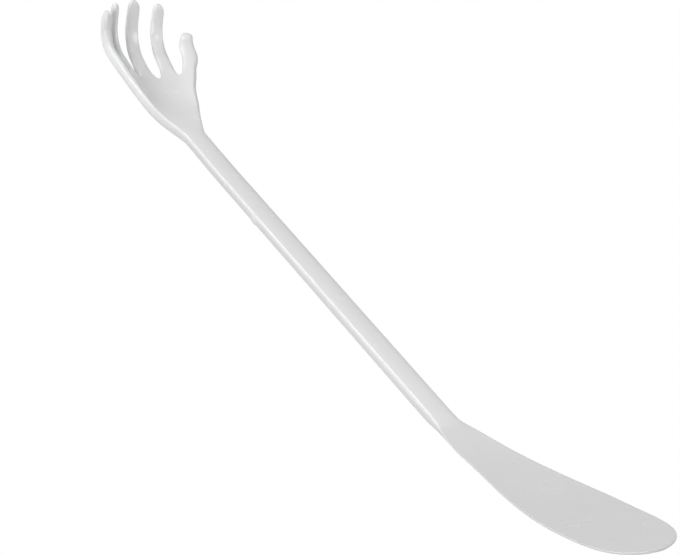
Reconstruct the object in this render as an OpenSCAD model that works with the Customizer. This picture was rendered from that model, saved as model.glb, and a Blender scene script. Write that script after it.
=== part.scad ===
// Back scratcher with a cupped hand at one end and a shoehorn blade at the other.
// It is one plastic moulding, divided here into the regions that a person would name.
// +X runs from the hand to the blade, +Y to the thumb side and +Z to the palm side.
// The origin is the middle of the shaft's flat back. All lengths are in millimetres.

/* [Shaft] */
// Length of the bar of even section between the neck and the blade's heel
shaft_l = 228; // [160:1:300]
// Width across the top face
shaft_w = 10; // [8:0.1:13]
// Thickness from the flat back to the top edges
shaft_t = 5.6; // [4.5:0.1:8]
// Draft of each side wall, in degrees
side_draft = 3; // [1:0.5:8]
// Rise of the crowned top above its edges
top_crown = 0.3; // [0.1:0.05:0.6]
// Radius along the top edges
top_r = 1.1; // [0.5:0.05:1.5]
// Radius along the back edges
back_r = 0.8; // [0.4:0.05:1.2]
// Distance of the gate mark from the shaft's middle, towards the hand
gate_x = 49.5; // [20:1:75]
// Length of the gate mark along the side wall
gate_l = 5; // [2:0.1:8]
// Height of the gate mark above the side wall
gate_h = 0.9; // [0.3:0.1:1]

/* [Shoehorn blade] */
// Length of the straight run before the blade's bend, where the bar starts to thin
heel_lead = 10; // [4:0.5:16]
// Length over which the blade widens
flank_l = 99.5; // [80:0.5:160]
// Fullness of the flank's outline, 1 for a straight taper
flank_power = 1.3; // [1.1:0.1:2.4]
// Length of the rounded nose
nose_l = 57; // [25:0.5:65]
// Fullness of the nose's outline, 2 for half an ellipse
nose_power = 4.5; // [1.8:0.1:6]
// Greatest width of the blade
blade_w = 32.2; // [24:0.2:42]
// Thickness along the blade's middle
blade_t = 2; // [1.6:0.1:3]
// Thickness at the blade's edge
edge_t = 1; // [0.8:0.1:1.6]
// Depth of the shallow trough across the blade at its widest
trough = 0.4; // [0.2:0.1:2]
// Radius of the bend where the blade leaves the shaft
heel_r = 16; // [10:1:60]
// Angle of that bend, in degrees
heel_angle = 10.3; // [4:0.1:16]
// Radius of the long bow from the heel to the tip
bow_r = 484; // [300:1:900]
// Length over which the side walls thin down to the blade's edge
edge_run = 26; // [8:1:40]
// Length over which the shaft's back runs out into the blade
rib_run = 58; // [30:1:80]

/* [Palm] */
// Length of the straight run of the neck before the palm flares
neck_lead = 10; // [4:0.5:16]
// Length from there to the knuckles, along the middle of the palm
palm_l = 49; // [36:1:60]
// Thickness of the palm
palm_t = 5.2; // [3.4:0.1:6]
// Upward slope of the palm, in degrees
palm_slope = 8.8; // [3:0.2:16]
// Length of the bend at the neck
neck_l = 9; // [5:1:16]
// Radius of the palm's cup across the hand
cup_r = 26.4; // [20:0.2:40]
// Angle at which the cup runs out straight into the thumb, in degrees
cup_limit = 28; // [20:1:50]
// Length over which the flat shaft turns into the full cup
cup_run = 40; // [24:1:48]
// Depth by which the palm's floor lies under the shaft's top
palm_dip = 1.6; // [0:0.1:2.4]
// Roll of the hand about the shaft, the little finger's side up, in degrees
palm_roll = 12.5; // [0:0.5:16]
// Slant of the knuckle line, the thumb's side nearer, as a slope
knuckle_slant = 0.17; // [0:0.01:0.35]
// Sweep of the palm's edge on the little finger's side, in degrees of a sine
little_sweep = 82; // [40:1:90]
// Sweep of the palm's edge on the thumb's side, in degrees of a sine
thumb_sweep = 5; // [5:1:90]

/* [Digits] */
// Place of the middle finger's root across the palm
middle_root = -3.6; // [-6:0.1:2]
// Thickness of the middle finger, the index finger and the thumb past their roots
digit_t = 3.8; // [2.6:0.1:4.4]
// Share of its width that a digit loses towards its tip
digit_taper = 0.11; // [0:0.01:0.3]
// Share of its thickness that a digit loses towards its tip
digit_thin = 0.22; // [0:0.01:0.4]
// Radius along a digit's palm-side edges
digit_r = 0.9; // [0.4:0.05:1.1]
// Length of the rounded notches at the roots of the little finger and the thumb
notch_l = 8; // [4:0.5:10]
// Length of the short notch between the ring and middle fingers
ring_notch = 4; // [2:0.5:8]
// Length of the long notch between the middle and index fingers
index_notch = 12; // [6:0.5:16]
// Length of the rounded tips of the middle and index fingers, as a share of half their width
finger_round = 1.3; // [1:0.1:2]
// Length of the thumb's rounded tip, as a share of half its width
thumb_round = 1.8; // [1:0.1:2.4]
// Distance from the knuckles to the start of the curl
curl_start = 16.7; // [12:0.1:24]
// Radius of the curl, on the palm side
curl_r = 16.6; // [11:0.1:20]
// Angle of the upright tips from the shaft, in degrees
curl_angle = 82.8; // [60:0.2:100]

/* [Little finger] */
// Length from the knuckles to the tip
little_l = 42.5; // [34:0.1:52]
// Width at the root
little_w = 4.9; // [3:0.1:6]
// Thickness past the root
little_t = 5.2; // [3:0.1:5.6]
// Length of the rounded tip, as a share of half the width
little_round = 3.2; // [1:0.1:4]
// Sideways lean of the tip, away from the thumb
little_lean = 4.5; // [2:0.1:11]
// Gap to the ring finger at the roots
little_gap = 0.7; // [0.4:0.1:2]

/* [Ring finger] */
// Length from the knuckles to the tip
ring_l = 46.1; // [36:0.1:56]
// Width at the root
ring_w = 3.9; // [3.2:0.1:6]
// Thickness past the root
ring_t = 4.5; // [3:0.1:5.6]
// Length of the rounded tip, as a share of half the width
ring_round = 1.8; // [1:0.1:4]
// Sideways lean of the tip, away from the thumb
ring_lean = 2; // [1:0.1:4]
// Gap to the middle finger at the roots
ring_gap = 1.1; // [0.6:0.1:3]

/* [Middle finger] */
// Length from the knuckles to the tip
middle_l = 48.2; // [38:0.2:58]
// Width at the root
middle_w = 7.3; // [5:0.1:8.5]
// Sideways lean of the tip, towards the thumb
middle_lean = 2.3; // [0:0.1:3]

/* [Index finger] */
// Length from the knuckles to the tip
index_l = 48.7; // [38:0.1:58]
// Width at the root
index_w = 6.7; // [5:0.1:8]
// Sideways lean of the tip, towards the thumb
index_lean = 3.4; // [2:0.1:6]
// Gap to the middle finger at the roots
index_gap = 4.7; // [1:0.1:5]

/* [Thumb] */
// Length from the knuckles to the tip
thumb_l = 33.2; // [24:0.1:40]
// Width at the root
thumb_w = 7.5; // [5.5:0.1:9]
// Sideways lean of the tip, away from the fingers
thumb_lean = 8.5; // [6:0.1:13]
// Gap to the index finger at the roots
thumb_gap = 2.2; // [0.4:0.1:3]

/* [Hidden] */
$fn = 64;

// Facets in each rounded corner of a section, across a broad face and across a digit
corner_n = 4;
broad_n = 9;
digit_n = 4;
// Stations along each region
palm_n = 26;
heel_n = 8;
flank_n = 22;
nose_n = 14;
notch_n = 5;
finger_n = 13;
tip_n = 5;
// Nearest approach of the last station to a rounded tip, as a share of the tip's length
tip_share = 0.985;

side_inset = shaft_t * tan(side_draft);
blade_inset = 0.2;
palm_r = 1.5;
palm_back_r = 1.8;
palm_inset = 0.7;
// Digits have a nearly half-round back
digit_back_r = 2.6;
digit_inset = 0.3;
// Radius where two digits meet at their roots, small enough to keep the palm's end face whole
root_r = 0.12;
// Sides of a section: palm-side radius, back radius, inset of the back
shaft_side = [top_r, back_r, side_inset];
blade_side = [top_r, top_r, blade_inset];
palm_side = [palm_r, palm_back_r, palm_inset];
root_side = [root_r, root_r, 0];
digit_side = [digit_r, digit_back_r, digit_inset];
gate_t = 1.4;
digit_thin_run = 14;
dip_run = 30;
neck_thin_run = 34;

heel_l = heel_r * heel_angle * PI / 180;
blade_l = flank_l + nose_l;
trough_r = blade_w * blade_w / (8 * trough);
trough_run = flank_l / 2;

// Digits from the little finger's side to the thumb's side
widths = [little_w, ring_w, middle_w, index_w, thumb_w];
thicks = [little_t, ring_t, digit_t, digit_t, digit_t];
rounds = [little_round, ring_round, finger_round, finger_round, thumb_round];
lengths = [little_l, ring_l, middle_l, index_l, thumb_l];
leans = [-little_lean, -ring_lean, middle_lean, index_lean, thumb_lean];
ring_root = middle_root - middle_w / 2 - ring_gap - ring_w / 2;
little_root = ring_root - ring_w / 2 - little_gap - little_w / 2;
index_root = middle_root + middle_w / 2 + index_gap + index_w / 2;
thumb_root = index_root + index_w / 2 + thumb_gap + thumb_w / 2;
roots = [little_root, ring_root, middle_root, index_root, thumb_root];
notches = [notch_l, notch_l, ring_notch, index_notch, notch_l, notch_l];
// Lines between the digits at the knuckles, and the palm's two edges
bounds = [little_root - little_w / 2, ring_root - (ring_w + little_gap) / 2,
          middle_root - (middle_w + ring_gap) / 2, index_root - (index_w + index_gap) / 2,
          thumb_root - (thumb_w + thumb_gap) / 2, thumb_root + thumb_w / 2];

function clip(t) = min(max(t, 0), 1);
function ease(t) = let (c = clip(t)) c * c * (3 - 2 * c);
function mix(a, b, t) = a + (b - a) * t;
function sweep(t, a) = sin(a * t) / sin(a);
// Runs from 0 to 1 like t, but starts level and lags by about c
function late(t, c) = t * t * (1 + c) / (t + c);
function round_end(t) = sqrt(1 - clip(t) * clip(t));
function turn(length, radius) = length / radius * 180 / PI;

// Point of a bent path, and its slope: an arc up to angle a1, then a straight line
function bent(s, r, a0, a1) =
    let (a = min(a0 + turn(s, r), a1), rest = max(s - r * (a1 - a0) * PI / 180, 0))
    [r * (sin(a) - sin(a0)) + rest * cos(a1), r * (cos(a0) - cos(a)) + rest * sin(a1), a];

// Place on a cupped surface, [sideways, height above the path], for a point at v across and n off the
// surface. Past the distance limit the surface runs on straight.
function cupped(v, n, curve, limit) =
    let (r = 1 / curve, a = min(v, limit) * curve * 180 / PI, rest = max(v - limit, 0))
    [(r - n) * sin(a) + rest * cos(a), r - (r - n) * cos(a) + rest * sin(a)];

// Closed section of a bar or a sheet: v across, n from 0 on the palm side down to -t on the back.
// Each side is [palm-side radius, back radius, inset of the back].
function corner(v, n, r, a) =
    [for (i = [0 : corner_n]) [v + r * cos(a + 90 * i / corner_n), n + r * sin(a + 90 * i / corner_n)]];
function across(a, b, n, rise, flats) =
    [for (i = [1 : flats - 1])
        let (q = 2 * i / flats - 1)
        [mix(a, b, i / flats), n + rise * (1 - q * q)]];
function section(left, right, t, ls, rs, crown, belly, flats) = concat(
    corner(right - rs[2] - rs[1], rs[1] - t, rs[1], -90),
    corner(right - rs[0], -rs[0], rs[0], 0),
    across(right - rs[0], left + ls[0], 0, crown, flats),
    corner(left + ls[0], -ls[0], ls[0], 90),
    corner(left + ls[2] + ls[1], ls[1] - t, ls[1], 180),
    across(left + ls[2] + ls[1], right - rs[2] - rs[1], -t, -belly, flats));

// A side's radii and inset, held within a section of thickness t and half width h
function held(side, t, h) =
    [min(side[0], 0.3 * t, 0.4 * h), min(side[1], 0.66 * t, 0.8 * h), min(side[2], 0.1 * h)];

// Solid through sections that run towards +X. A tip is the point that closes a rounded end.
module loft(rings, first_tip = [], last_tip = []) {
    n = len(rings[0]);
    m = len(rings);
    points = concat([for (r = rings) each r], first_tip, last_tip);
    sides = [for (k = [0 : m - 2], i = [0 : n - 1])
        let (j = (i + 1) % n)
        each [[k * n + i, k * n + n + i, k * n + n + j], [k * n + i, k * n + n + j, k * n + j]]];
    top = [for (j = [0 : n / 2 - 1]) corner_n + 1 + j];
    back = [for (j = [0 : n / 2 - 1]) (corner_n - j + n) % n];
    cap = [for (j = [0 : n / 2 - 2])
        each [[top[j], top[j + 1], back[j]], [top[j + 1], back[j + 1], back[j]]]];
    end = (m - 1) * n;
    first = len(first_tip) > 0 ? [for (i = [0 : n - 1]) [i, (i + 1) % n, m * n]] : cap;
    last = len(last_tip) > 0 ? [for (i = [0 : n - 1]) [end + (i + 1) % n, end + i, len(points) - 1]]
                             : [for (f = cap) [end + f[2], end + f[1], end + f[0]]];
    polyhedron(points, concat(sides, first, last));
}

// Blade: path, width, thickness and sections

function blade_path(s) =
    let (h = bent(min(max(s, 0), heel_l), heel_r, 0, heel_angle),
         b = bent(max(s - heel_l, 0), bow_r, heel_angle, 90))
    [h[0] + b[0] + min(s, 0), h[1] + b[1], s < heel_l ? h[2] : b[2]];
function blade_at(s, v, n) =
    let (p = blade_path(s), q = cupped(v, n, max(ease(s / trough_run), 0.001) / trough_r, blade_w))
    [shaft_l / 2 + heel_lead + p[0] - q[1] * sin(p[2]), q[0], shaft_t + p[1] + q[1] * cos(p[2])];
function blade_half(s) =
    s < flank_l ? mix(blade_w, shaft_w, pow(1 - max(s, 0) / flank_l, flank_power)) / 2
                : blade_w / 2 * sqrt(1 - pow((s - flank_l) / nose_l, nose_power));
function blade_ring(s) =
    let (h = blade_half(s),
         thin = ease((s + heel_lead) / edge_run),
         edge = mix(shaft_t, edge_t, thin),
         fullness = s < flank_l ? 1 : 2 * h / blade_w,
         belly = fullness * (mix(shaft_t, blade_t, ease((s + heel_lead) / rib_run)) - edge),
         side = held(mix(shaft_side, blade_side, thin), edge, h),
         crown = top_crown * (1 - thin))
    [for (p = section(-h, h, edge, side, side, crown, belly, broad_n)) blade_at(s, p[0], p[1])];
blade_stations = concat(
    [for (i = [0 : heel_n]) edge_run * i / heel_n - heel_lead],
    [for (i = [1 : flank_n]) mix(edge_run - heel_lead, flank_l, i / flank_n)],
    [for (i = [1 : nose_n - 1]) flank_l + nose_l * sin(90 * i / nose_n)],
    [flank_l + nose_l * mix(sin(90 * (nose_n - 1) / nose_n), 1, 0.8)]);

// Hand: path, cup, knuckle slant and roll

function hand_path(u) =
    let (neck = bent(min(max(u, 0), palm_l + curl_start), neck_l / palm_slope * 180 / PI, 0, palm_slope),
         curl = bent(max(u - palm_l - curl_start, 0), curl_r, palm_slope, curl_angle))
    [neck[0] + curl[0] + min(u, 0), neck[1] + curl[1], u < palm_l + curl_start ? neck[2] : curl[2]];
function hand_at(u, v, n) =
    let (q = cupped(v, n, max(ease(u / cup_run), 0.001) / cup_r, cup_r * cup_limit * PI / 180),
         p = hand_path(u - knuckle_slant * q[0] * ease(u / palm_l)),
         x = p[0] - q[1] * sin(p[2]),
         z = p[1] - palm_dip * ease(u / dip_run) + q[1] * cos(p[2]),
         roll = -palm_roll * ease(u / dip_run))
    [-shaft_l / 2 - neck_lead - x,
     q[0] * cos(roll) - z * sin(roll),
     shaft_t + q[0] * sin(roll) + z * cos(roll)];

function palm_ring(u) =
    let (t = clip(u / palm_l),
         left = mix(-shaft_w / 2, bounds[0], sweep(late(t, neck_l / palm_l), little_sweep)),
         right = mix(shaft_w / 2, bounds[5], sweep(t, thumb_sweep)),
         side = mix(shaft_side, palm_side, ease(t)),
         thick = mix(shaft_t, palm_t, ease(u / neck_thin_run)),
         crown = top_crown * (1 - ease(u / neck_l)))
    [for (p = section(left, right, thick, side, side, crown, 0, broad_n)) hand_at(u, p[0], p[1])];

// Section of digit k at distance s from the knuckles. Its edges leave the lines between the digits in a
// rounded notch, and its end is rounded both across and through its thickness.
function digit_centre(k, s) = roots[k] + leans[k] * sin(90 * s / lengths[k]);
function digit_half(k, s) = widths[k] / 2 * (1 - digit_taper * s / lengths[k]);
function digit_tip(k) = digit_half(k, lengths[k]) * rounds[k];
// Share of the way from a digit's own edge to the line between two digits
function notch_share(k, s) = 1 - round_end(1 - s / notches[k]);
function digit_ring(k, s) =
    let (tip = digit_tip(k),
         end = round_end((s - lengths[k] + tip) / tip),
         half = digit_half(k, s) * end,
         left_room = bounds[k] - roots[k] + widths[k] / 2,
         right_room = bounds[k + 1] - roots[k] - widths[k] / 2,
         left = digit_centre(k, s) - half + notch_share(k, s) * left_room,
         right = digit_centre(k, s) + half + notch_share(k + 1, s) * right_room,
         full = mix(palm_t, thicks[k], ease(s / digit_thin_run)) * (1 - digit_thin * s / lengths[k]),
         thick = full * mix(0.4, 1, end),
         blend = ease(s / notch_l),
         ls = held(mix(k == 0 ? palm_side : root_side, digit_side, blend), thick, (right - left) / 2),
         rs = held(mix(k == 4 ? palm_side : root_side, digit_side, blend), thick, (right - left) / 2))
    [for (p = section(left, right, thick, ls, rs, 0, 0, digit_n))
        hand_at(palm_l + s, p[0], p[1] - (full - thick) / 2)];
function digit_stations(k) =
    let (tip = digit_tip(k))
    concat([for (i = [0 : notch_n]) notch_l * (1 - cos(90 * i / notch_n))],
           [for (i = [1 : finger_n]) mix(notch_l, lengths[k] - tip, i / finger_n)],
           [for (i = [1 : tip_n]) lengths[k] - tip + tip * tip_share * sin(90 * i / tip_n)]);

module plastic() {
    color("whitesmoke") children();
}

// Rounded section of the shaft with its crowned top, as true arcs
module shaft_section() {
    top_half = shaft_w / 2 - top_r;
    back_half = shaft_w / 2 - side_inset - back_r;
    crown_r = (top_half * top_half + top_crown * top_crown) / (2 * top_crown);
    polygon([[-back_half, 0], [back_half, 0], [back_half + back_r, back_r],
             [top_half + top_r, shaft_t - top_r], [top_half, shaft_t], [-top_half, shaft_t],
             [-top_half - top_r, shaft_t - top_r], [-back_half - back_r, back_r]]);
    for (side = [-1, 1]) {
        translate([side * top_half, shaft_t - top_r]) circle(top_r);
        translate([side * back_half, back_r]) circle(back_r);
    }
    intersection() {
        translate([0, shaft_t + top_crown - crown_r]) circle(crown_r);
        translate([-top_half, shaft_t - top_r]) square([2 * top_half, top_r + top_crown]);
    }
}

module shaft() {
    plastic() {
        rotate([90, 0, 90]) linear_extrude(shaft_l, center = true) shaft_section();
        translate([-gate_x - gate_l / 2, side_inset - shaft_w / 2 - gate_h, back_r])
            cube([gate_l, gate_h + back_r, gate_t]);
    }
}

module shoehorn_blade() {
    plastic() loft([for (s = blade_stations) blade_ring(s)],
                   last_tip = [blade_at(blade_l, 0, -edge_t / 2)]);
}

module palm() {
    plastic() loft([for (i = [0 : palm_n]) palm_ring(mix(palm_l, -neck_lead, i / palm_n))]);
}

module digit(k) {
    stations = digit_stations(k);
    last = len(stations) - 1;
    plastic() loft([for (i = [0 : last]) digit_ring(k, stations[last - i])],
                   first_tip = [hand_at(palm_l + lengths[k], digit_centre(k, lengths[k]),
                                        -thicks[k] * (1 - digit_thin) / 2)]);
}

module little_finger() {
    digit(0);
}

module ring_finger() {
    digit(1);
}

module middle_finger() {
    digit(2);
}

module index_finger() {
    digit(3);
}

module thumb() {
    digit(4);
}

shaft();
shoehorn_blade();
palm();
little_finger();
ring_finger();
middle_finger();
index_finger();
thumb();
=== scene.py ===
import bpy
import bmesh
import math
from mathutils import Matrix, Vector


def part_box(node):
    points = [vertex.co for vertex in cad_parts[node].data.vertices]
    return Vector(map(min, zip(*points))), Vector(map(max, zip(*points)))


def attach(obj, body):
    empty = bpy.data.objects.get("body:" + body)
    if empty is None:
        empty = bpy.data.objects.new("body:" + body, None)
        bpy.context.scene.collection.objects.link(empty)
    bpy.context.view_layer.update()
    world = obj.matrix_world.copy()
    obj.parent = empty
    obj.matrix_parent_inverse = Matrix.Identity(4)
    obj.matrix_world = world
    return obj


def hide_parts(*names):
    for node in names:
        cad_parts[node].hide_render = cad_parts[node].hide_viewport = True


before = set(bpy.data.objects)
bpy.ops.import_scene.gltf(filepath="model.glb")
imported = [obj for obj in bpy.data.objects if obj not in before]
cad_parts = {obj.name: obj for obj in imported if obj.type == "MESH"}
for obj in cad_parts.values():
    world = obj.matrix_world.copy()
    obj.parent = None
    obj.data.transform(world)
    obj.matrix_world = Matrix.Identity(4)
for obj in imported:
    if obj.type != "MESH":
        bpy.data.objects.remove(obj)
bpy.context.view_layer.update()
print("frame loaded,", len(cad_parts), "nodes")

mm = 0.001         # sizes below are in millimetres and degrees, as on the drawing
near = 0.001       # places on the pattern closer than this are one place
leastCurve = 0.001   # least share of a curve, so that its radius stays finite

# camera of the photo, looking along the bar from the blade's end
camera = {"spot": (742.89, -375.04, 603.27), "tilt": 36, "turn": 62.294, "lens": 121.36, "sensor": 36}

cameraData = bpy.data.cameras.new("photoCamera")
cameraData.lens = camera["lens"]
cameraData.sensor_width = camera["sensor"]
photoCamera = bpy.data.objects.new("photoCamera", cameraData)
photoCamera.location = Vector(camera["spot"]) * mm
photoCamera.rotation_euler = (math.radians(90 - camera["tilt"]), 0, math.radians(camera["turn"]))
bpy.context.collection.objects.link(photoCamera)
bpy.context.scene.camera = photoCamera
print("camera set")

# the straight bar, with its main sizes from the frame
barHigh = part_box("shaft")[1] / mm
bar = {
    "half": barHigh.x,
    "width": 2 * barHigh.y + 0.4,   # a little over the frame's, as its edges are rounder
    "thick": barHigh.z - 0.3,       # the crown makes up the rest
    "crown": 0.7,         # height of the top's middle over its edges
    "shoulder": 0.57,     # the share of that by which the edges drop
    "inset": 0.3,         # draft of each wall over its height
    "brow": 0.3,          # how far the top draws in from the walls
    "soft": 2.1,          # loop spacing at the top edges, which sets their roundness
    "softBack": 1.4,      # and at the back's edges
    "rows": 12,
    "gate": (46.5, 53),   # where the sprue was cut, from the middle towards the hand
    "gateRise": 1.1,      # how far its stub stands out low on the wall
    "gateShare": 0.35,    # and the share of that higher up
    "gateRows": (0.3, 0.65), "gateStep": 0.4,   # rows along the stub, and the length of its cut end
    "shift": 0.2, "sway": 0.5, "swayRun": 30,   # the neck stands a little towards the thumb's side
}

# the shoehorn blade, measured along its bend from the heel
blade = {
    "lead": 10,                               # straight run before the heel
    "flank": 99.5, "flankPower": 1.3,         # run in which it widens, and how early it does so
    "nose": 57, "nosePower": 4.5,             # run of the round end, and how full it is
    "width": 32.2, "tipHalf": 1.5,
    "thick": 2, "ribRun": 58,                 # of the middle, and the run in which it thins down
    "edge": 1, "edgeRun": 26, "edgeBlend": 0.5,
    "trough": 0.4, "inset": 0.3,              # hollow across the top, and draft of the edge
    "heelRadius": 16, "heelAngle": 10.3, "bowRadius": 484,
    "softShare": 0.35,                        # loop spacing at the edge, as a share of its thickness
    "margin": 0.8, "marginLimit": 0.2,        # outermost strip, and the largest share it may take
    "swell": 0.8, "swellAt": 18, "swellRun": 24,    # fuller finger side past the heel
    "slim": 0.35, "slimAt": 42, "slimRun": 36,      # and a slimmer stretch after it
    "heelRows": 12, "flankRows": 12, "noseRows": 11,
}

# the palm, measured from the bend of the neck
palm = {
    "lead": 10, "length": 49,                 # straight run before the bend, and on to the knuckles
    "thick": 5.2, "thinRun": 34,
    "slope": 8.8, "neck": 9,                  # rise of the hand, and the length of the bend
    "cupRadius": 26.4, "cupLimit": 28, "cupRun": 40,
    "dip": 1.6, "dipRun": 30, "roll": 12.5,   # it sinks a little and rolls down on the thumb's side
    "slant": 0.17,                            # of the row of knuckles
    "littleSweep": 82, "thumbSweep": 5,       # how round each side swings out
    "soft": 2.2, "softBack": 1.8,
    "insets": (0.8, 0, 0.6, 1.9),   # how far each layer of the rounded rim draws in
    "waist": 1.1, "waistAt": 37, "waistRun": 13,   # hollow of the thumb's side below the thumb
    "rows": 18, "knuckleRow": 1,
}

# the five digits; gap and notch are to the next one, round is the tip's length over its half width
digits = [
    {"length": 42.5, "width": 4.9, "thick": 5.2, "lean": -3.4, "taper": 0.11, "round": 3.2,
     "gap": 0.7, "notch": 8},     # little finger
    {"length": 46.1, "width": 2.9, "thick": 4.5, "lean": -1.4, "taper": -0.15, "round": 1.8,
     "gap": 1.85, "notch": 4},    # ring finger
    {"length": 48.2, "width": 7.5, "thick": 3.8, "lean": 2.7, "taper": 0.11, "round": 1.3,
     "gap": 4.75, "notch": 12},   # middle finger
    {"length": 48.7, "width": 6.7, "thick": 3.8, "lean": 3.4, "taper": 0.11, "round": 1.3,
     "gap": 2.2, "notch": 8},     # index finger
    {"length": 33.2, "width": 7.5, "thick": 3.8, "lean": 8.5, "taper": 0.11, "round": 1.8,
     "gap": 0, "notch": 8},       # thumb
]
claw = {
    "middleRoot": -3.75,              # where the middle finger leaves the palm
    "root": 8,                        # run in which a digit takes on its own round section
    "thinRun": 14, "thin": 0.22,      # run in which it takes on its thickness, and its loss to the tip
    "curlStart": 16.7, "curlRadius": 16.6, "curlAngle": 82.8,
    "soft": 1.5, "marginLimit": 0.28,     # outermost strip, and the largest share it may take
    "crown": 0.08,                    # rise of the palm side's middle, as a share of the width
    "brow": 0.1,                      # the share of the width by which the palm side draws in
    "wallInset": 0.05,                # and by which the lower wall does
    "backInset": 0.45,                # the share of the half width by which a round back draws in
    "rootDrops": (0.4, 0.65),         # depth of the edge loops at the root, as shares of the thickness
    "drops": (0.3, 0.62),             # and further out
    "elbow": 1.3, "elbowAt": 7.5, "elbowRuns": (5, 11),   # the thumb's joint, on its outer side
    "pad": 0.8, "padAt": 21, "padRun": 10,                # and its pad, on its inner side
    "drawIn": 0.9,                    # keeps a digit's pattern clear of its neighbours
    "rootRows": 5, "fingerRows": 10, "tipRows": (0.3, 0.55, 0.76, 0.92, 1.0),
    "tipHalf": 0.3, "tipThick": 0.45,     # what is left of a digit at the very tip
}
strips = 4                        # strips of faces that run into each digit
columns = strips * len(digits)
depthSteps = 3                    # from the palm side to the back


def ease(t):
    t = min(max(t, 0), 1)
    return t * t * (3 - 2 * t)


def mix(a, b, t):
    return a + (b - a) * t


def hump(along, middle, reach):
    return 0.5 + 0.5 * math.cos(math.pi * min(abs(along - middle) / reach, 1))


def sweep(t, degrees):
    return math.sin(math.radians(degrees) * t) / math.sin(math.radians(degrees))


def bent(along, radius, slope, lastSlope):
    # an arc up to the last slope, then a straight line: distance, height, slope
    first, last = math.radians(slope), math.radians(lastSlope)
    angle = min(first + along / radius, last)
    rest = max(along - radius * (last - first), 0)
    return (radius * (math.sin(angle) - math.sin(first)) + rest * math.cos(last),
            radius * (math.cos(first) - math.cos(angle)) + rest * math.sin(last), angle)


def cupped(across, height, curve, limit):
    # past the limit the surface runs on straight
    angle = min(across, limit) * curve
    rest = max(across - limit, 0)
    reach = 1 / curve - height
    return (reach * math.sin(angle) + rest * math.cos(angle),
            1 / curve - reach * math.cos(angle) + rest * math.sin(angle))


def wallPoint(left, right, share, layer, wall):
    # layer 0 is the palm side, 3 the back, and 1 and 2 hold the edges between them
    side = 2 * share - 1
    half = (right - left) / 2 - wall["insets"][layer]
    bulge = (wall["crown"], 0, 0, -wall["belly"])[layer]
    fall = wall["fall"] if layer == 0 else 0
    rise = bulge * (1 - side * side) - fall
    return (left + right) / 2 + side * half, rise - wall["drops"][layer]


def wallShape(thick, soft, softBack, inset, brow, crown, belly=0):
    drops = (0, soft, thick - softBack, thick)
    insets = [brow] + [inset * drop / thick for drop in drops[1:]]
    return {"drops": drops, "insets": insets, "crown": crown, "belly": belly,
            "fall": crown * bar["shoulder"]}


def evenShare(column, margin):
    if column in (0, columns):
        return column / columns
    return margin + (1 - 2 * margin) * (column - 1) / (columns - 2)


def barPoint(run, column, layer):
    wall = wallShape(bar["thick"], bar["soft"], bar["softBack"], bar["inset"], bar["brow"], bar["crown"])
    half = bar["width"] / 2
    across, height = wallPoint(-half, half, evenShare(column, bar["soft"] / bar["width"]), layer, wall)
    gateEnd, gateStart = bar["gate"]
    if column == 0 and layer in (1, 2) and gateEnd <= run <= gateStart:
        rise = bar["gateRise"] * (bar["gateShare"] if layer == 1 else 1)
        across -= rise * (gateStart - run) / (gateStart - gateEnd)
    across += bar["shift"] + bar["sway"] * hump(run, bar["half"] + palm["lead"], bar["swayRun"])
    return Vector((-run, across, bar["thick"] + height))


def bladePoint(along, column, layer):
    if along < blade["flank"]:
        fullness = (1 - max(along, 0) / blade["flank"]) ** blade["flankPower"]
        half = mix(blade["width"], bar["width"], fullness) / 2
    else:
        fullness = 1 - min((along - blade["flank"]) / blade["nose"], 1) ** blade["nosePower"]
        half = max(blade["width"] / 2 * math.sqrt(fullness), blade["tipHalf"])
    half -= blade["slim"] * hump(along, blade["slimAt"], blade["slimRun"])
    swell = blade["swell"] * hump(along, blade["swellAt"], blade["swellRun"])

    # the edge thins down sooner than the middle
    lift = min((along + blade["lead"]) / blade["edgeRun"], 1)
    thin = mix(ease(lift), math.sin(math.pi / 2 * lift), blade["edgeBlend"])
    middle = ease((along + blade["lead"]) / blade["ribRun"])
    edge = mix(bar["thick"], blade["edge"], thin)
    full = 1 if along < blade["flank"] else 2 * half / blade["width"]
    belly = full * (mix(bar["thick"], blade["thick"], middle) - edge)
    soft = mix(bar["soft"], blade["softShare"] * edge, thin)
    softBack = mix(bar["softBack"], blade["softShare"] * edge, thin)
    inset = mix(bar["inset"], blade["inset"], thin)
    brow = bar["brow"] * (1 - thin)
    crown = bar["crown"] * (1 - thin)
    wall = wallShape(edge, soft, softBack, inset, brow, crown, belly)
    margin = min(mix(bar["soft"], blade["margin"], thin) / (2 * half), blade["marginLimit"])
    shift = bar["shift"] * (1 - thin)
    across, height = wallPoint(shift - half - swell, shift + half, evenShare(column, margin), layer, wall)

    # up over the heel and along the bow
    heelLength = blade["heelRadius"] * math.radians(blade["heelAngle"])
    heel = bent(min(max(along, 0), heelLength), blade["heelRadius"], 0, blade["heelAngle"])
    bow = bent(max(along - heelLength, 0), blade["bowRadius"], blade["heelAngle"], 90)
    slope = heel[2] if along < heelLength else bow[2]
    troughRadius = blade["width"] ** 2 / (8 * blade["trough"])
    curve = max(ease(along / (blade["flank"] / 2)), leastCurve) / troughRadius
    across, height = cupped(across, height, curve, blade["width"])
    out = min(along, 0) + heel[0] + bow[0] - height * math.sin(slope)
    up = heel[1] + bow[1] + height * math.cos(slope)
    return Vector((bar["half"] + blade["lead"] + out, across, bar["thick"] + up))


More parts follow.
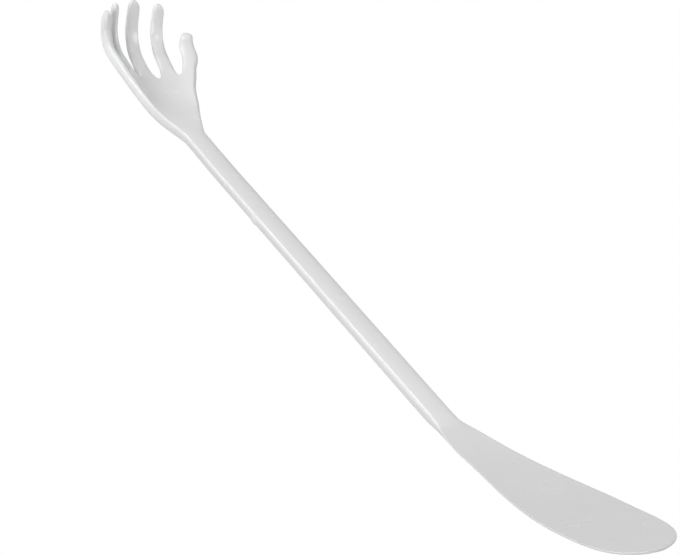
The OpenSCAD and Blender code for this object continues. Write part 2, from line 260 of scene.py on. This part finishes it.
def handPoint(along, across, height):
    # bends a flat pattern of the hand into its cup, curl, slanted knuckles and roll
    curve = max(ease(along / palm["cupRun"]), leastCurve) / palm["cupRadius"]
    across, height = cupped(across, height, curve, palm["cupRadius"] * math.radians(palm["cupLimit"]))
    dip = ease(along / palm["dipRun"])
    along -= palm["slant"] * across * ease(along / palm["length"])
    straight = palm["length"] + claw["curlStart"]
    neck = bent(min(max(along, 0), straight), palm["neck"] / math.radians(palm["slope"]), 0, palm["slope"])
    curl = bent(max(along - straight, 0), claw["curlRadius"], palm["slope"], claw["curlAngle"])
    slope = neck[2] if along < straight else curl[2]
    out = min(along, 0) + neck[0] + curl[0] - height * math.sin(slope)
    up = neck[1] + curl[1] - palm["dip"] * dip + height * math.cos(slope)
    roll = math.radians(-palm["roll"] * dip)
    return Vector((-bar["half"] - palm["lead"] - out,
                   across * math.cos(roll) - up * math.sin(roll),
                   bar["thick"] + across * math.sin(roll) + up * math.cos(roll)))


def placeRoots():
    # digits stand side by side from the middle finger outwards, with a line between each two
    middle = digits[2]
    middle["root"] = claw["middleRoot"]
    for k in (1, 0):
        reach = digits[k + 1]["width"] / 2 + digits[k]["gap"] + digits[k]["width"] / 2
        digits[k]["root"] = digits[k + 1]["root"] - reach
    for k in (3, 4):
        reach = digits[k - 1]["width"] / 2 + digits[k - 1]["gap"] + digits[k]["width"] / 2
        digits[k]["root"] = digits[k - 1]["root"] + reach
    for k, digit in enumerate(digits):
        digit["left"] = digit["root"] - digit["width"] / 2 - (digits[k - 1]["gap"] / 2 if k else 0)
        digit["right"] = digit["root"] + digit["width"] / 2 + digit["gap"] / 2
        digit["tip"] = digit["width"] / 2 * (1 - digit["taper"]) * digit["round"]


def notchShare(along, length):
    # how far a digit's edge still is from leaving the line to its neighbour
    return 1 - math.sqrt(1 - min(max(1 - along / length, 0), 1) ** 2)


def stripShares(width):
    # where the strips of a digit part, across its width
    margin = min(claw["soft"] / width, claw["marginLimit"])
    return 0, margin, 0.5, 1 - margin, 1


def knuckleAcross(column):
    k = min(column // strips, len(digits) - 1)
    left, right = digits[k]["left"], digits[k]["right"]
    return mix(left, right, stripShares(right - left)[column - strips * k])


def palmPoint(along, column, layer):
    t = min(max(along / palm["length"], 0), 1)
    lag = palm["neck"] / palm["length"]
    knuckleLeft, knuckleRight = digits[0]["left"], digits[-1]["right"]
    left = mix(-bar["width"] / 2, knuckleLeft, sweep(t * t * (1 + lag) / (t + lag), palm["littleSweep"]))
    right = mix(bar["width"] / 2, knuckleRight, sweep(t, palm["thumbSweep"]))
    sway = bar["shift"] * (1 - ease(t)) + bar["sway"] * hump(along, 0, bar["swayRun"])
    left += sway
    right += sway - palm["waist"] * hump(along, palm["waistAt"], palm["waistRun"])

    # from the bar's section into the palm's rounded rim
    blend = ease(t)
    thick = mix(bar["thick"], palm["thick"], ease(along / palm["thinRun"]))
    soft = mix(bar["soft"], palm["soft"], blend)
    softBack = mix(bar["softBack"], palm["softBack"], blend)
    crown = bar["crown"] * (1 - ease(along / palm["neck"]))
    wall = wallShape(thick, soft, softBack, bar["inset"], bar["brow"], crown)
    wall["insets"] = [mix(drawn, rim, blend) for drawn, rim in zip(wall["insets"], palm["insets"])]
    even = evenShare(column, soft / (right - left))
    knuckle = (knuckleAcross(column) - knuckleLeft) / (knuckleRight - knuckleLeft)
    across, height = wallPoint(left, right, mix(even, knuckle, blend), layer, wall)
    return handPoint(along, across, height)


def digitPoint(along, column, layer):
    k = int(column // strips)
    digit = digits[k]
    length, tip = digit["length"], digit["tip"]
    narrow = 1 - digit["taper"] * along / length
    end = math.sqrt(1 - min(max((along - length + tip) / tip, 0), 1) ** 2)
    centre = digit["root"] + digit["lean"] * math.sin(math.pi / 2 * along / length)
    half = digit["width"] / 2 * narrow * max(end, claw["tipHalf"])
    leftNotch = notchShare(along, digits[max(k - 1, 0)]["notch"])
    rightNotch = notchShare(along, digit["notch"])
    left = centre - half + leftNotch * (digit["left"] - digit["root"] + digit["width"] / 2)
    right = centre + half + rightNotch * (digit["right"] - digit["root"] - digit["width"] / 2)
    if k == len(digits) - 1:
        left -= claw["pad"] * hump(along, claw["padAt"], claw["padRun"])
        right += claw["elbow"] * hump(along, claw["elbowAt"], claw["elbowRuns"][along > claw["elbowAt"]])
    width = right - left
    full = mix(palm["thick"], digit["thick"], ease(along / claw["thinRun"]))
    full *= 1 - claw["thin"] * along / length
    thick = full * mix(claw["tipThick"], 1, end)

    # from the palm's rounded side into a digit's round back; only the outer digits meet the rim
    blend = ease(along / claw["root"])
    rootInsets = palm["insets"] if k in (0, len(digits) - 1) else (0, 0, 0, 0)
    ownInsets = (claw["brow"] * width, 0, claw["wallInset"] * width, claw["backInset"] * width / 2)
    rootEdge, rootBack = claw["rootDrops"]
    ownEdge, ownBack = claw["drops"]
    edge = mix(min(palm["soft"], rootEdge * thick), ownEdge * thick, blend)
    back = mix(rootBack, ownBack, blend) * thick
    wall = {
        "drops": (0, edge, back, thick),
        "insets": [mix(root, own, blend) for root, own in zip(rootInsets, ownInsets)],
        "crown": claw["crown"] * width * blend, "fall": 0, "belly": 0,
    }
    drawn = strips / 2 * (1 - claw["drawIn"])
    strip = round((column - strips * k - drawn) / claw["drawIn"])
    across, height = wallPoint(left, right, stripShares(width)[strip], layer, wall)
    return handPoint(palm["length"] + along, across, height - (full - thick) / 2)


def shapePoint(run, column, layer):
    neckRun = bar["half"] + palm["lead"]
    knuckleRun = neckRun + palm["length"]
    heelRun = bar["half"] + blade["lead"]
    if run > knuckleRun + near:
        return digitPoint(run - knuckleRun, column, layer)
    if run > bar["half"] + near:
        return palmPoint(run - neckRun, round(column), layer)
    if run < -bar["half"] - near:
        return bladePoint(-run - heelRun, round(column), layer)
    return barPoint(run, round(column), layer)


def evenSteps(count):
    return [i / count for i in range(1, count + 1)]


def bladeStops():
    edgeEnd = blade["edgeRun"] - blade["lead"]
    stops = [blade["edgeRun"] * t - blade["lead"] for t in evenSteps(blade["heelRows"])]
    stops += [mix(edgeEnd, blade["flank"], t) for t in evenSteps(blade["flankRows"])]
    stops += [blade["flank"] + blade["nose"] * math.sin(math.pi / 2 * t)
              for t in evenSteps(blade["noseRows"])]
    return stops


def palmStops():
    knuckles = palm["lead"] + palm["length"]
    stops = [knuckles * t for t in evenSteps(palm["rows"])]
    return stops[:-1] + [knuckles - palm["knuckleRow"], knuckles]


def digitStops(digit):
    tipStart = digit["length"] - digit["tip"]
    stops = [claw["root"] * (1 - math.cos(math.pi / 2 * t)) for t in evenSteps(claw["rootRows"])]
    stops += [mix(claw["root"], tipStart, t) for t in evenSteps(claw["fingerRows"])]
    stops += [tipStart + digit["tip"] * t for t in claw["tipRows"]]
    return stops


def endRow(bm, run):
    return [e for e in bm.edges if all(abs(v.co.x - run) < near for v in e.verts)]


def pullRow(bm, row, step):
    # carries a row of edges one step along the pattern and gives back the new row
    made = bmesh.ops.extrude_edge_only(bm, edges=row)["geom"]
    verts = [g for g in made if isinstance(g, bmesh.types.BMVert)]
    edges = [g for g in made if isinstance(g, bmesh.types.BMEdge)]
    bmesh.ops.translate(bm, verts=verts, vec=(step, 0, 0))
    return [e for e in edges if all(v in verts for v in e.verts)], verts


def pullRows(bm, row, start, stops, way=1):
    for stop in stops:
        row = pullRow(bm, row, way * (stop - start))[0]
        start = stop
    return row


def pullDigit(bm, knuckles, k):
    # from its own strips, drawn in a little from its neighbours
    low, high = strips * k - near, strips * (k + 1) + near
    row = [e for e in knuckles if all(low < v.co.y < high for v in e.verts)]
    stops = digitStops(digits[k])
    row, verts = pullRow(bm, row, stops[0])
    middle = strips * (k + 0.5)
    bmesh.ops.translate(bm, verts=verts, vec=(0, -middle, 0))
    bmesh.ops.scale(bm, verts=verts, vec=(1, claw["drawIn"], 1))
    bmesh.ops.translate(bm, verts=verts, vec=(0, middle, 0))
    pullRows(bm, row, stops[0], stops[1:])


def layPattern():
    # flat pattern: x is the run towards the hand, y the column, z the depth
    bm = bmesh.new()
    bmesh.ops.create_grid(bm, x_segments=bar["rows"], y_segments=columns, size=0.5)
    bmesh.ops.translate(bm, verts=bm.verts, vec=(0, 0.5, 0))
    bmesh.ops.scale(bm, verts=bm.verts, vec=(2 * bar["half"], columns, 1))
    gateEnd, gateStart = bar["gate"]
    gateCuts = [mix(gateEnd, gateStart, t) for t in bar["gateRows"]]
    for cut in [gateEnd - bar["gateStep"], gateEnd, *gateCuts, gateStart]:
        bmesh.ops.bisect_plane(bm, geom=bm.verts[:] + bm.edges[:] + bm.faces[:], dist=near,
                               plane_co=(cut, 0, 0), plane_no=(1, 0, 0))

    # out to the blade, out to the knuckles, and on into each digit
    pullRows(bm, endRow(bm, -bar["half"]), -blade["lead"], bladeStops(), -1)
    knuckles = pullRows(bm, endRow(bm, bar["half"]), 0, palmStops())
    for k in range(len(digits)):
        pullDigit(bm, knuckles, k)

    # depth, with two edge loops down every wall
    made = bmesh.ops.extrude_face_region(bm, geom=bm.faces[:])["geom"]
    backVerts = [g for g in made if isinstance(g, bmesh.types.BMVert)]
    bmesh.ops.translate(bm, verts=backVerts, vec=(0, 0, -1))
    walls = [e for e in bm.edges if abs(e.verts[0].co.z - e.verts[1].co.z) > 0.5]
    bmesh.ops.subdivide_edges(bm, edges=walls, cuts=depthSteps - 1, use_grid_fill=True)
    print("pattern:", len(bm.faces), "faces")
    return bm


def makeMoulding():
    placeRoots()
    bm = layPattern()
    for vert in bm.verts:
        run, column, depth = vert.co
        vert.co = shapePoint(run, column, round(-depthSteps * depth))
    bmesh.ops.scale(bm, verts=bm.verts, vec=(mm, mm, mm))
    bmesh.ops.recalc_face_normals(bm, faces=bm.faces)
    for face in bm.faces:
        face.smooth = True
    openEdges = sum(1 for e in bm.edges if not e.is_manifold)

    mesh = bpy.data.meshes.new("moulding")
    bm.to_mesh(mesh)
    bm.free()
    piece = bpy.data.objects.new("moulding", mesh)
    bpy.context.collection.objects.link(piece)
    rounding = piece.modifiers.new("rounding", "SUBSURF")
    rounding.levels = 2
    rounding.render_levels = 2
    print("moulding:", len(mesh.polygons), "faces,", openEdges, "open edges")
    return piece


# near-white gloss plastic
plastic = {
    "pale": (0.77, 0.771, 0.775), "dull": (0.72, 0.721, 0.726),
    "flow": (14, 60, 60), "cloudScale": 1.2, "cloudDetail": 3,
    "fleck": (0.42, 0.42, 0.42), "fleckScale": 95,
    "fleckReach": (0.03, 0.05), "fleckShares": (0.6, 0),     # strongest in the middle of a fleck
    "handlingScale": 45, "handlingDetail": 4, "handlingReach": (0.3, 0.7),
    "gloss": (0.2, 0.3),                                     # roughness of clean and of handled patches
    "waveScale": 130, "waveDetail": 1, "waveStrength": 0.05, "waveDepth": 0.1,
    "ior": 1.49,
}
mixSocket = {"share": 0, "first": 6, "second": 7, "result": 2}   # a mix node's sockets for colours


def addNoise(tree, place, scale, detail):
    noise = tree.nodes.new("ShaderNodeTexNoise")
    noise.inputs["Scale"].default_value = scale
    noise.inputs["Detail"].default_value = detail
    tree.links.new(place, noise.inputs["Vector"])
    return noise.outputs["Fac"]


def addRange(tree, value, given, wanted):
    span = tree.nodes.new("ShaderNodeMapRange")
    for name, number in zip(("From Min", "From Max", "To Min", "To Max"), (*given, *wanted)):
        span.inputs[name].default_value = number
    tree.links.new(value, span.inputs["Value"])
    return span.outputs["Result"]


def addColourMix(tree, share, second):
    blend = tree.nodes.new("ShaderNodeMix")
    blend.data_type = "RGBA"
    blend.inputs[mixSocket["second"]].default_value = (*second, 1)
    tree.links.new(share, blend.inputs[mixSocket["share"]])
    return blend.inputs[mixSocket["first"]], blend.outputs[mixSocket["result"]]


def makePlastic():
    material = bpy.data.materials.new("mouldedPlastic")
    material.use_nodes = True
    tree = material.node_tree
    shader = tree.nodes["Principled BSDF"]
    shader.inputs["IOR"].default_value = plastic["ior"]
    place = tree.nodes.new("ShaderNodeTexCoord").outputs["Object"]

    # slow clouding of the colour, drawn out along the flow of the plastic
    flow = tree.nodes.new("ShaderNodeMapping")
    flow.inputs["Scale"].default_value = plastic["flow"]
    tree.links.new(place, flow.inputs["Vector"])
    clouding = addNoise(tree, flow.outputs["Vector"], plastic["cloudScale"], plastic["cloudDetail"])
    dull, tint = addColourMix(tree, clouding, plastic["pale"])
    dull.default_value = (*plastic["dull"], 1)

    # sparse dust flecks in the plastic
    flecks = tree.nodes.new("ShaderNodeTexVoronoi")
    flecks.inputs["Scale"].default_value = plastic["fleckScale"]
    tree.links.new(place, flecks.inputs["Vector"])
    fleckShare = addRange(tree, flecks.outputs["Distance"], plastic["fleckReach"], plastic["fleckShares"])
    clear, flecked = addColourMix(tree, fleckShare, plastic["fleck"])
    tree.links.new(tint, clear)
    tree.links.new(flecked, shader.inputs["Base Color"])

    # handled patches are duller than the rest
    handling = addNoise(tree, place, plastic["handlingScale"], plastic["handlingDetail"])
    gloss = addRange(tree, handling, plastic["handlingReach"], plastic["gloss"])
    tree.links.new(gloss, shader.inputs["Roughness"])

    # shallow waves left by the flow in the mould
    waves = addNoise(tree, place, plastic["waveScale"], plastic["waveDetail"])
    relief = tree.nodes.new("ShaderNodeBump")
    relief.inputs["Strength"].default_value = plastic["waveStrength"]
    relief.inputs["Distance"].default_value = plastic["waveDepth"] * mm
    tree.links.new(waves, relief.inputs["Height"])
    tree.links.new(relief.outputs["Normal"], shader.inputs["Normal"])
    return material


moulding = makeMoulding()
moulding.data.materials.append(makePlastic())
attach(moulding, "root")
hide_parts("shaft", "shoehorn_blade", "palm", "little_finger", "ring_finger", "middle_finger",
            "index_finger", "thumb")
print("moulding placed")

# white ground as the camera sees it, and just below it the paper that throws light back at the part
floors = [
    {"name": "ground", "height": 0, "glow": 1, "seen": True},
    {"name": "paper", "height": -0.2, "glow": 0.48, "seen": False},
]
floorSide = 4   # in metres


def makeFloor(floor):
    bm = bmesh.new()
    bmesh.ops.create_grid(bm, x_segments=1, y_segments=1, size=floorSide / 2)
    bmesh.ops.translate(bm, verts=bm.verts, vec=(0, 0, floor["height"] * mm))
    mesh = bpy.data.meshes.new(floor["name"])
    bm.to_mesh(mesh)
    bm.free()
    sheet = bpy.data.objects.new(floor["name"], mesh)
    bpy.context.collection.objects.link(sheet)

    # it only glows, so its own colour is black
    finish = bpy.data.materials.new(floor["name"])
    finish.use_nodes = True
    shader = finish.node_tree.nodes["Principled BSDF"]
    shader.inputs["Base Color"].default_value = (0, 0, 0, 1)
    shader.inputs["Specular IOR Level"].default_value = 0
    shader.inputs["Emission Color"].default_value = (1, 1, 1, 1)
    shader.inputs["Emission Strength"].default_value = floor["glow"]
    mesh.materials.append(finish)
    sheet.visible_camera = floor["seen"]
    sheet.visible_diffuse = not floor["seen"]
    sheet.visible_glossy = not floor["seen"]
    sheet.visible_shadow = not floor["seen"]
    return sheet


for floor in floors:
    makeFloor(floor)

# soft boxes: spots in metres, aimed at the bar; sizes across and up
lamps = [
    {"name": "thumbSideBox", "spot": (0.56, 1.37, 0.6), "size": (0.9, 0.9), "power": 14},
    {"name": "fingerSideBox", "spot": (0.56, -1.37, 0.6), "size": (0.9, 0.9), "power": 13.5},
    {"name": "highBox", "spot": (-0.46, -0.79, 1.31), "size": (0.8, 0.8), "power": 10},
    {"name": "backStrip", "spot": (-1.14, -0.6, 0.95), "size": (0.4, 0.7), "power": 6},
    {"name": "sparkLamp", "spot": (0.82, -0.22, 1.36), "size": (0.2, 0.2), "power": 4.5},
]
roomLight = 0.05

for lamp in lamps:
    lampData = bpy.data.lights.new(lamp["name"], "AREA")
    lampData.shape = "RECTANGLE"
    lampData.size, lampData.size_y = lamp["size"]
    lampData.energy = lamp["power"]
    lampObject = bpy.data.objects.new(lamp["name"], lampData)
    lampObject.location = lamp["spot"]
    lampObject.rotation_euler = (-Vector(lamp["spot"])).to_track_quat("-Z", "Y").to_euler()
    bpy.context.collection.objects.link(lampObject)

room = bpy.data.worlds.new("paleRoom")
room.use_nodes = True
background = room.node_tree.nodes["Background"]
background.inputs["Color"].default_value = (1, 1, 1, 1)
background.inputs["Strength"].default_value = roomLight
bpy.context.scene.world = room
bpy.context.scene.view_settings.view_transform = "Standard"
print("floor and lamps set")
